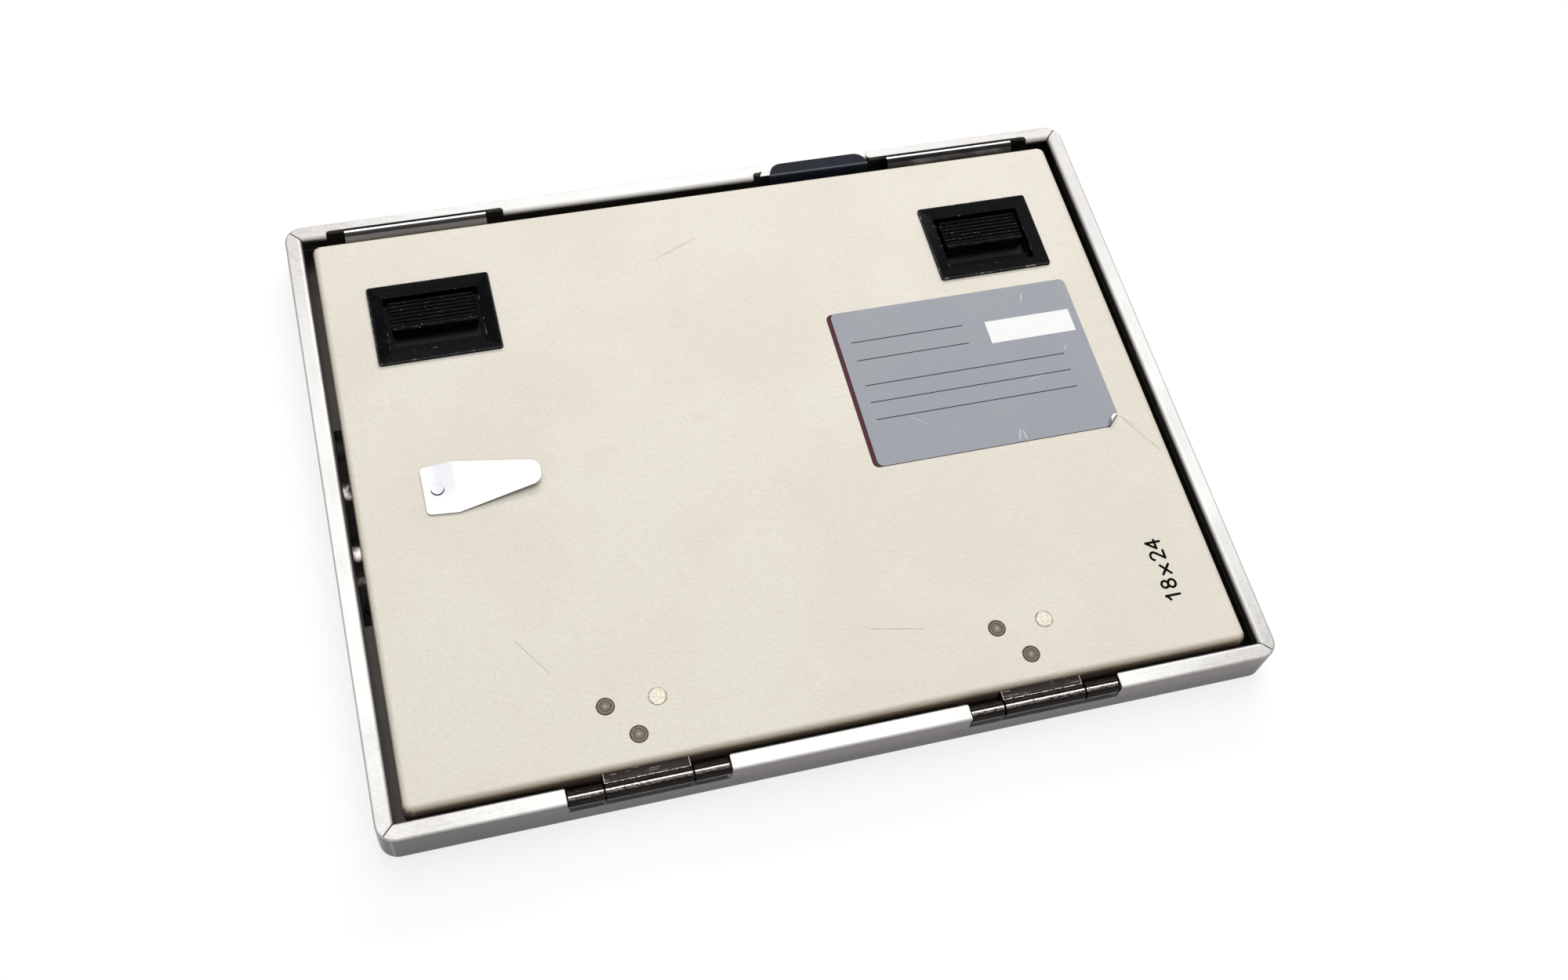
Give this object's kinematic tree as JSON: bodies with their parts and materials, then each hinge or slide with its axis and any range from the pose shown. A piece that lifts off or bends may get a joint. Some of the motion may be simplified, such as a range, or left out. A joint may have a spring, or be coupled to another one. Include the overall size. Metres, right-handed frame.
{
  "type": "x-ray film cassette",
  "caption": "Flat hinged x-ray film cassette: bent aluminium channel frame, shallow ivory lid with foam-backed screen, two barrel hinges and two sliding thumb latches under keepers",
  "frame": {"origin": "middle of the cassette's underside, on the plane the channel's bottom lip rests on", "axes": "+X along the long sides, +Y from the hinge side to the latch side, +Z out of the lid, so the object lies with its front panel down as in the picture"},
  "size_m": [0.267, 0.208, 0.0168],
  "materials": {
    "channel": "satin matt, fine drawn grain",
    "cover": "warm ivory enamel with a fine orange-peel grain",
    "dark_hardware": "dark nickel plating, glossy and scratched",
    "bright_steel": "polished steel",
    "rivet": "tarnished flush rivet",
    "steel": "plain steel strip",
    "latch_plastic": "black, glossy",
    "tab_plastic": "navy, matt",
    "panel": "black, matt",
    "screen": "off-white coated sheet",
    "foam": "dark soft foam",
    "felt": "black felt",
    "lead": "dull grey foil",
    "tray": "matt black paint",
    "white_plastic": "natural white slide plastic"
  },
  "bodies": {
    "frame": {"frame_channel": "channel", "front_panel": "panel", "front_screen": "screen", "edge_tab": "tab_plastic", "keeper_left": "bright_steel", "keeper_right": "bright_steel", "keeper_rivets": "rivet", "hinge_frame_leaf_left": "dark_hardware", "hinge_frame_leaf_right": "dark_hardware", "hinge_pin_left": "steel", "hinge_pin_right": "steel", "frame_hinge_rivets": "rivet", "lift_spring_left": "dark_hardware", "lift_spring_right": "dark_hardware", "lift_spring_rivets": "rivet"},
    "lid": {"lid_pan": "cover", "lid_tray": "tray", "lead_foil": "lead", "foam_pad": "foam", "back_screen": "screen", "light_seal": "felt", "hinge_lid_leaf_left": "dark_hardware", "hinge_lid_leaf_right": "dark_hardware", "lid_hinge_rivets": "rivet", "latch_bezel_left": "latch_plastic", "latch_bezel_right": "latch_plastic", "bolt_guide_left": "white_plastic", "bolt_guide_right": "white_plastic", "spring_seat_left": "white_plastic", "spring_seat_right": "white_plastic", "id_clip": "bright_steel", "id_clip_rivet": "bright_steel"},
    "latch_left": {"latch_knob_left": "latch_plastic", "latch_bolt_left": "steel", "latch_screws_left": "steel", "latch_spring_left": "steel"},
    "latch_right": {"latch_knob_right": "latch_plastic", "latch_bolt_right": "steel", "latch_screws_right": "steel", "latch_spring_right": "steel"}
  },
  "joints": [
    {"name": "lid_hinge", "type": "hinge", "parent": "frame", "child": "lid", "pos_m": [0, -0.1015, 0.0117], "axis": [1, 0, 0], "range_deg": [0, 180]},
    {"name": "latch_left_slide", "type": "slide", "parent": "lid", "child": "latch_left", "axis": [0, -1, 0], "range_m": [0, 0.0042], "stiffness_N_per_m": 450, "springref_m": -0.003, "deforming": ["latch_spring_left"]},
    {"name": "latch_right_slide", "type": "slide", "parent": "lid", "child": "latch_right", "axis": [0, -1, 0], "range_m": [0, 0.0042], "stiffness_N_per_m": 450, "springref_m": -0.003, "deforming": ["latch_spring_right"]}
  ]
}
